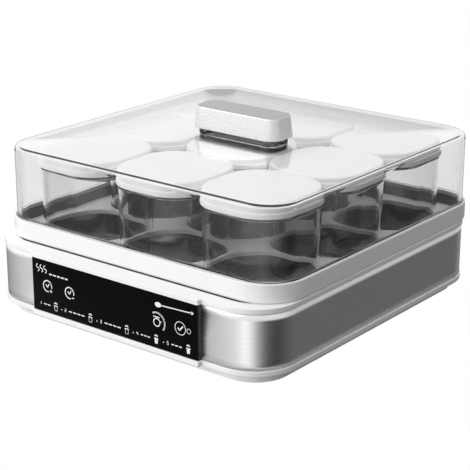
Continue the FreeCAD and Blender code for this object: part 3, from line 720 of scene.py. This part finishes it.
def dial_ticks(name, centre, radius, first, sweep, count, size):
    """Geometry Nodes build the dial's scale: one small plate set along an arc; degrees and millimetres."""
    tree = bpy.data.node_groups.new(name, "GeometryNodeTree")
    sizes = {"Radius": radius * MM, "First Angle": math.radians(first), "Sweep": math.radians(sweep),
             "Tick Width": size[0] * MM, "Tick Length": size[1] * MM}
    sockets = {}
    for label in (*sizes, "Count"):
        kind = "NodeSocketInt" if label == "Count" else "NodeSocketFloat"
        sockets[label] = tree.interface.new_socket(label, in_out="INPUT", socket_type=kind).identifier
    tree.interface.new_socket("Geometry", in_out="OUTPUT", socket_type="NodeSocketGeometry")
    given = tree.nodes.new("NodeGroupInput").outputs
    arc = add_node(tree, "GeometryNodeCurveArc", None,
                   {"Resolution": given["Count"], "Radius": given["Radius"],
                    "Start Angle": given["First Angle"], "Sweep Angle": given["Sweep"]})
    points = add_node(tree, "GeometryNodeCurveToPoints", None, {"Curve": arc.outputs["Curve"]},
                      mode="EVALUATED")
    shape = add_node(tree, "ShaderNodeCombineXYZ", {"Z": INK * MM},
                     {"X": given["Tick Length"], "Y": given["Tick Width"]})
    plate = add_node(tree, "GeometryNodeMeshCube", None, {"Size": shape.outputs["Vector"]})
    outward = add_node(tree, "FunctionNodeAlignRotationToVector", None, {"Vector": points.outputs["Normal"]},
                       axis="X", pivot_axis="Z")
    copies = add_node(tree, "GeometryNodeInstanceOnPoints", None,
                      {"Points": points.outputs["Points"], "Instance": plate.outputs["Mesh"],
                       "Rotation": outward.outputs["Rotation"]})
    real = add_node(tree, "GeometryNodeRealizeInstances", None, {"Geometry": copies.outputs["Instances"]})
    inked = add_node(tree, "GeometryNodeSetMaterial", {"Material": PRINT},
                     {"Geometry": real.outputs["Geometry"]})
    result = tree.nodes.new("NodeGroupOutput")
    tree.links.new(inked.outputs["Geometry"], result.inputs["Geometry"])
    maker = bpy.data.objects.new(name + "_maker", bpy.data.meshes.new(name + "_start"))
    bpy.context.scene.collection.objects.link(maker)
    modifier = maker.modifiers.new("ticks", "NODES")
    modifier.node_group = tree
    for label, value in sizes.items():
        modifier[sockets[label]] = value
    modifier[sockets["Count"]] = count
    evaluated = maker.evaluated_get(bpy.context.evaluated_depsgraph_get())
    mesh = bpy.data.meshes.new_from_object(evaluated)
    upright = Matrix.Rotation(math.radians(90), 4, "X")
    middle = Vector((centre[0] + PRINT_X, PRINT_Y - INK / 2, centre[1] + PRINT_Z)) * MM
    mesh.transform(Matrix.Translation(middle) @ upright)
    maker.modifiers.remove(modifier)
    bpy.data.objects.remove(maker)
    ticks = bpy.data.objects.new(name, mesh)
    bpy.context.scene.collection.objects.link(ticks)
    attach(ticks, "base")


def make_print():
    """White print of the panel: keys, dial, lamp ring and the five numbered programmes."""
    ink = Ink()
    for wave in range(3):
        x = -64.5 + 3.4 * wave
        for step in range(2):
            ink.arc((x, 43.2 + 2.4 * step), 1.2, -90 + 180 * step, 90 + 180 * step, 0.65, 8)
    for dash in range(5):
        ink.stroke((-54.0 + 3.6 * dash, 41.9), (-51.4 + 3.6 * dash, 41.9), 1.0)
    draw_clock(ink, -56.0, 32.9, True)
    draw_clock(ink, -35.7, 32.8, False)
    dial = (40.3, 31.4)
    dial_ticks("dial_scale", dial, 6.6, -34.0, 150.0, 13, (0.86, 1.1))
    ink.arc(dial, 2.6, 0, 360, 0.7)
    ink.stroke((dial[0] - 2.9, dial[1] + 3.6), (dial[0] + 2.3, dial[1] + 3.6), 0.7)
    ink.stroke((dial[0] + 2.4, dial[1] + 1.0), (dial[0] + 3.9, dial[1] + 1.0), 0.6)
    key = (59.6, 32.2)
    ink.arc(key, 4.3, 0, 360, 0.45)
    ink.stroke((key[0] - 2.0, key[1] + 0.1), (key[0] - 0.5, key[1] - 1.5), 0.95)
    ink.stroke((key[0] - 0.7, key[1] - 1.6), (key[0] + 2.2, key[1] + 1.8), 0.95)
    ink.arc((66.5, 31.9), 1.55, 0, 360, 0.35)
    spoon = (41.6, 43.6)
    ink.disc(spoon, 1.7, 1.6)
    ink.stroke((spoon[0] + 2.2, spoon[1]), (69.0, spoon[1] + 1.0), 0.7)
    ink.disc((69.0, spoon[1] + 1.0), 0.9, 1.5)
    row = 19.6
    starts = (-63.6, -40.5, -8.5, 23.0, 48.6)
    icons = (-48.9, -17.4, 14.6, 39.6, 66.0)
    for number, (start, icon) in enumerate(zip(starts, icons), start=1):
        draw_digit(ink, number, start, row - 1.0)
        length = icon - start - 8.0
        dashes = max(1, round(length / 3.4))
        for dash in range(dashes):
            x = start + 3.6 + dash * length / dashes
            ink.stroke((x, row), (x + length / dashes - 0.9, row), 0.75)
        draw_jar(ink, icon, row, number > 3)
        if number < 5:
            ink.disc((starts[number] - 3.0, row - 0.4), 0.4)
    finish_mesh("panel_marks", ink.bm, PRINT, "base")


# ---- jars and lids ----
def make_jar(number, centre):
    """Pressed glass jar: heavy base with a push-up, tapering walls, shoulder and finish."""
    body = "jar_%d" % number
    low, high = node_box(body)
    half = (high[0] - low[0]) / 2
    base, rim = low[2], high[2]
    base_inset, heel, shoulder_edge = 1.2, 3.0, 1.2
    shoulder, bead = 98.6, 103.6
    neck_inset, corner_inset = 1.3, 9.2
    waist = (base + shoulder) / 2
    outside = [(-22.0, base + 1.6), (-8.0, base + 0.8), (-4.6, base)]
    outside += bend((-base_inset - heel, base + heel), heel, -70, 0, 5)
    outside += [(-0.5, waist), (0.0, shoulder - shoulder_edge)]
    outside += bend((-shoulder_edge, shoulder), shoulder_edge, 0, 80, 4)
    outside += [(-neck_inset, shoulder + 1.8), (-neck_inset, bead - 0.4), (-1.05, bead)]
    outside += [(-neck_inset, bead + 0.4), (-neck_inset, rim - 0.7)]
    inside = bend((-1.9, rim - 0.6), 0.6, 0, 180, 6)[1:]
    inside += [(-2.5, shoulder + 0.4), (-2.1, waist), (-2.6, base + 6.0)]
    inside += bend((-5.8, base + 5.4), 3.2, 0, -80, 6)[1:]
    inside += [(-12.0, base + 2.4), (-22.0, base + 2.7)]
    bm = bmesh.new()
    swept(bm, half, half, half - corner_inset, outside + inside, centre, steps=12)
    return finish_mesh("glass_" + body, bm, JAR_GLASS, body, [body], sharp=50.0)


def make_jar_lid(number, centre):
    """White push-on lid: softly crowned top, step round the skirt, hollow beneath with a seal ring."""
    name = "jar_lid_%d" % number
    low, high = node_box(name)
    half = (high[0] - low[0]) / 2
    bottom, top = low[2], high[2]
    step, ceiling, corner = 104.4, 107.1, 25.3
    profile = [(-6.0, ceiling), (-3.5, ceiling), (-3.2, 106.5), (-2.6, 106.4), (-2.2, ceiling)]
    profile += [(-1.8, 106.6)]
    profile += [(-1.8, bottom + 0.5), (-1.4, bottom)]
    profile += bend((-0.5, bottom + 0.5), 0.5, -90, 0, 3)
    profile += bend((-0.4, step - 0.4), 0.4, 0, 90, 3)
    profile += [(-0.65, step + 0.1)]
    profile += bend((-2.1, top - 1.75), 1.6, 0, 90, 6)
    profile += [(-6.0, top - 0.05), (-16.0, top)]
    bm = bmesh.new()
    swept(bm, half, half, corner, profile, centre)
    return finish_mesh("lid_" + name, bm, LID_WHITE, name, [name])


# ---- cover and handle ----
def make_cover():
    """Clear cover: one even shell with rounded top edge, foot flange and locating lip."""
    bm = bmesh.new()
    top = COVER_HIGH[2]
    lip_bottom = COVER_LOW[2]
    seat = RING_HIGH[2] + 0.05
    wall = 2.2
    edge = 3.5
    corner = 24.7
    lip_edge = lip_bottom + 0.3
    profile = bend((-edge, top - edge), edge, 90, 0, 7)
    profile += [(0.0, seat + 1.3)]
    profile += bend((0.4, seat + 1.2), 0.4, 180, 270, 3)[1:]
    profile += bend((0.8, seat + 0.5), 0.3, 90, 0, 2)
    profile += [(1.1, seat + 0.25), (0.9, seat), (-1.8, seat), (-1.8, lip_edge), (-2.0, lip_bottom)]
    profile += [(-wall - 0.6, lip_bottom), (-wall - 0.8, lip_edge), (-wall - 0.8, seat + 0.2)]
    profile += [(-wall, seat + 0.9)]
    inner = edge - wall
    profile += bend((-wall - inner, top - wall - inner), inner, 0, 90, 5)
    loops = []
    for offset, height in held(profile, False):
        loops.append(loop_points(COVER_HALF_X + offset, COVER_HALF_Y + offset, corner + offset, height,
                                 UPPER, 20))
    # the hole is a hair smaller than the neck, so that no gap shows between them
    hole_half_x = half_and_middle("handle_neck", 0)[0] - 0.35
    hole_half_y = half_and_middle("handle_neck", 1)[0] - 0.25
    hole_corner = 7.75
    for height in (top - wall, top):
        loops.append(loop_points(hole_half_x, hole_half_y, hole_corner, height, UPPER, 20))
    skin(bm, loops, closed=True)
    return finish_mesh("clear_cover", bm, COVER_CLEAR, "cover", ["cover"], sharp=40.0)


def make_handle():
    """Smoked neck, hollow above its floor, and the brushed cap pushed over its tongue."""
    bm = bmesh.new()
    half_x = half_and_middle("handle_neck", 0)[0]
    half_y = half_and_middle("handle_neck", 1)[0]
    bottom, joint, tongue_top = NECK_LOW[2], CAP_LOW[2], NECK_HIGH[2]
    tongue, hollow = -3.1, -5.1
    neck_corner, cap_corner = 8.0, 9.5
    profile = [(-4.0, bottom), (-1.9, bottom)]
    profile += bend((-1.8, bottom + 1.0), 1.0, -90, 0, 4)[1:]
    profile += [(0.0, joint - 0.05), (tongue, joint - 0.05), (tongue, tongue_top), (hollow, tongue_top)]
    profile += [(hollow, bottom + 1.2)]
    swept(bm, half_x, half_y, neck_corner, profile, UPPER)
    finish_mesh("smoked_neck", bm, SMOKED, "cover", ["handle_neck"])
    bm = bmesh.new()
    half_x = half_and_middle("handle_cap", 0)[0]
    half_y = half_and_middle("handle_cap", 1)[0]
    top = CAP_HIGH[2]
    taper, lower_edge, upper_edge = 1.8, 0.4, 0.9
    socket, socket_depth = -5.9, 8.5
    profile = [(socket, joint + socket_depth), (socket, joint), (-0.5, joint)]
    profile += bend((-lower_edge, joint + lower_edge), lower_edge, -90, 0, 3)
    profile += bend((-taper - upper_edge, top - upper_edge), upper_edge, 0, 90, 5)
    profile += [(-6.5, top)]
    swept(bm, half_x, half_y, cap_corner, profile, UPPER)
    cap = finish_mesh("brushed_handle_cap", bm, CAP_METAL, "cover", ["handle_cap"])
    # the cap's top faces take the darker copy of the metal: painted shade on the top
    cap.data.materials.append(CAP_TOP_PAINTED_SHADE)
    for face in cap.data.polygons:
        face.material_index = 1 if face.normal.z > 0.75 and face.center.z > (top - 1.0) * MM else 0


# ---- carried-over pieces ----
CARRIED = {"heating_plate": ALUMINIUM, "heating_element": SHEATH, "temperature_sensor": RESIN,
           "thermal_fuse": CERAMIC, "insulation_pad": FELT, "power_board": BOARD, "control_board": BOARD,
           "display_module": DISPLAY, "cord_gland": RUBBER, "base_screws": ZINC, "board_screws": ZINC,
           "foot_front_left": RUBBER, "foot_front_right": RUBBER, "foot_rear_left": RUBBER,
           "foot_rear_right": RUBBER}


def finish_carried():
    """Gives the hidden pieces their materials; their shapes are the CAD's own."""
    for name, material in CARRIED.items():
        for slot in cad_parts[name].material_slots:
            slot.material = material


# ---- surroundings ----
def make_floor():
    """White light table that only the camera sees; the object gets all its light from the studio."""
    mesh = bpy.data.meshes.new("studio_floor")
    reach = 6.0
    corners = [(-reach, -reach, 0), (reach, -reach, 0), (reach, reach, 0), (-reach, reach, 0)]
    mesh.from_pydata(corners, [], [(0, 1, 2, 3)])
    floor = bpy.data.objects.new("studio_floor", mesh)
    bpy.context.scene.collection.objects.link(floor)
    material, _, shader, _ = new_material("studio_lightbox", "000000", Roughness=1.0)
    shader.inputs["Specular IOR Level"].default_value = 0.0
    shader.inputs["Emission Color"].default_value = (1, 1, 1, 1)
    shader.inputs["Emission Strength"].default_value = 1.0
    mesh.materials.append(material)
    floor.visible_diffuse = False
    floor.visible_glossy = False
    floor.visible_transmission = False


def around_light(tree, share, peak, stops):
    """Light that changes with the compass angle, zero ahead; stops hold (angle, level)."""
    ramp = add_node(tree, "ShaderNodeValToRGB", None, {"Fac": share})
    ramp.color_ramp.interpolation = "EASE"
    elements = ramp.color_ramp.elements
    elements.remove(elements[-1])
    for index, (angle, level) in enumerate(stops):
        position = (angle + 180) / 360
        element = elements[0] if index == 0 else elements.new(position)
        element.position = position
        element.color = (level / peak, level / peak, level / peak, 1)
    scaled = add_node(tree, "ShaderNodeMath", {1: peak}, {0: ramp.outputs["Color"]}, operation="MULTIPLY")
    return scaled.outputs[0]


def by_height(tree, height, start, end, low, high):
    """Goes from one light to another as the direction rises; each is an output or a number."""
    rise = add_node(tree, "ShaderNodeMapRange", {"From Min": start, "From Max": end}, {"Value": height},
                    interpolation_type="SMOOTHSTEP")
    mix = add_node(tree, "ShaderNodeMix", None, {0: rise.outputs["Result"]}, data_type="FLOAT")
    for socket, value in ((mix.inputs[2], low), (mix.inputs[3], high)):
        if isinstance(value, float):
            socket.default_value = value
        else:
            tree.links.new(value, socket)
    return mix.outputs[0]


# Light levels round the studio, as (compass angle in degrees, level).
# 0 is ahead of the panel and 90 on its right.
SOFT_AROUND = ((-180, 0.5), (-120, 0.8), (-60, 1.45), (-10, 1.5), (15, 1.2), (45, 0.1), (90, 0.03),
               (140, 0.05), (180, 0.5))
GLOSS_BELOW = ((-180, 0.5), (-160, 0.15), (-140, 0.05), (-124, 0.05), (-114, 0.3), (-75, 0.62), (-49, 0.72),
               (-38, 1.0), (-12, 1.0), (2, 1.15), (15, 1.95), (28, 1.3), (44, 0.38), (62, 0.07), (88, 0.035),
               (118, 0.13), (143, 0.19), (151, 0.12), (162, 0.2), (180, 0.5))
GLOSS_ABOVE = ((-180, 1.2), (-150, 1.5), (-136, 1.7), (-110, 1.4), (-60, 1.3), (0, 1.3), (40, 1.1), (90, 1.1),
               (142, 0.7), (180, 1.2))
BRIGHT_FIELD = ((-180, 1.2), (-168, 1.3), (-112, 1.3), (-94, 1.0), (-76, 0.15), (-46, 0.15), (-15, 1.0),
                (70, 1.0), (96, 0.3), (126, 0.12), (150, 0.25), (168, 0.9), (180, 1.2))


def make_world():
    """White studio: soft light ahead and above, dark to the right, a bright strip for the gloss.

    Clear pieces see a bright field with dark sides, which draws their edges.
    """
    world = bpy.data.worlds.new("studio")
    bpy.context.scene.world = world
    world.use_nodes = True
    tree = world.node_tree
    tree.nodes.clear()
    direction = add_node(tree, "ShaderNodeTexCoord").outputs["Generated"]
    parts = add_node(tree, "ShaderNodeSeparateXYZ", None, {"Vector": direction})
    forward = add_node(tree, "ShaderNodeMath", {1: -1.0}, {0: parts.outputs["Y"]}, operation="MULTIPLY")
    turn = add_node(tree, "ShaderNodeMath", None, {0: parts.outputs["X"], 1: forward.outputs[0]},
                    operation="ARCTAN2")
    compass = add_node(tree, "ShaderNodeMapRange", {"From Min": -math.pi, "From Max": math.pi},
                       {"Value": turn.outputs[0]})
    share = compass.outputs["Result"]
    height = parts.outputs["Z"]
    soft = by_height(tree, height, 0.2, 0.7, around_light(tree, share, 1.6, SOFT_AROUND), 1.15)
    gloss = by_height(tree, height, -0.2, 0.05, around_light(tree, share, 2.6, GLOSS_BELOW),
                      around_light(tree, share, 2.6, GLOSS_ABOVE))
    rays = add_node(tree, "ShaderNodeLightPath")
    open_sky = add_node(tree, "ShaderNodeBackground", {"Strength": 1.0, "Color": (1, 1, 1, 1)})
    surface = open_sky.outputs[0]
    through = around_light(tree, share, 1.3, BRIGHT_FIELD)
    for ray, level in (("Is Glossy Ray", gloss), ("Is Diffuse Ray", soft), ("Is Transmission Ray", through)):
        studio = add_node(tree, "ShaderNodeBackground", None, {"Strength": level})
        mix = add_node(tree, "ShaderNodeMixShader", None, {0: rays.outputs[ray], 1: surface,
                                                           2: studio.outputs[0]})
        surface = mix.outputs[0]
    add_node(tree, "ShaderNodeOutputWorld", None, {"Surface": surface})


def add_softbox(name, place, aim, size, power):
    """Square area light at a place, facing a point; metres and watts."""
    light = bpy.data.lights.new(name, "AREA")
    light.shape = "RECTANGLE"
    light.size, light.size_y = size
    light.energy = power
    box = bpy.data.objects.new(name, light)
    box.location = place
    box.rotation_euler = (Vector(aim) - Vector(place)).to_track_quat("-Z", "Y").to_euler()
    bpy.context.scene.collection.objects.link(box)


def make_camera():
    """Long lens, a little above the cover, off the panel's right-hand end."""
    azimuth, elevation = math.radians(38.28), math.radians(18.945)
    aim = Vector((-7.77, 6.71, 41.4)) * MM
    distance = 1064.7 * MM
    away = Vector((math.sin(azimuth) * math.cos(elevation), -math.cos(azimuth) * math.cos(elevation),
                   math.sin(elevation)))
    data = bpy.data.cameras.new("camera")
    data.lens = 114.75
    data.sensor_width = 36.0
    data.clip_start = 0.05
    camera = bpy.data.objects.new("camera", data)
    camera.location = aim + away * distance
    camera.rotation_euler = (-away).to_track_quat("-Z", "Y").to_euler()
    bpy.context.scene.collection.objects.link(camera)
    bpy.context.scene.camera = camera
    bpy.context.scene.view_settings.view_transform = "Standard"


make_camera()
make_world()
make_floor()
add_softbox("key_softbox", (-0.9, -1.4, 1.5), (0, 0, 0.05), (1.4, 1.4), 14.0)
make_base_pan()
make_collar()
make_steel_band()
make_rim_ring()
make_inner_tub()
make_pot_tray()
make_panel()
make_print()
for jar_number, jar_centre in jar_places().items():
    make_jar(jar_number, jar_centre)
    make_jar_lid(jar_number, jar_centre)
make_cover()
make_handle()
finish_carried()
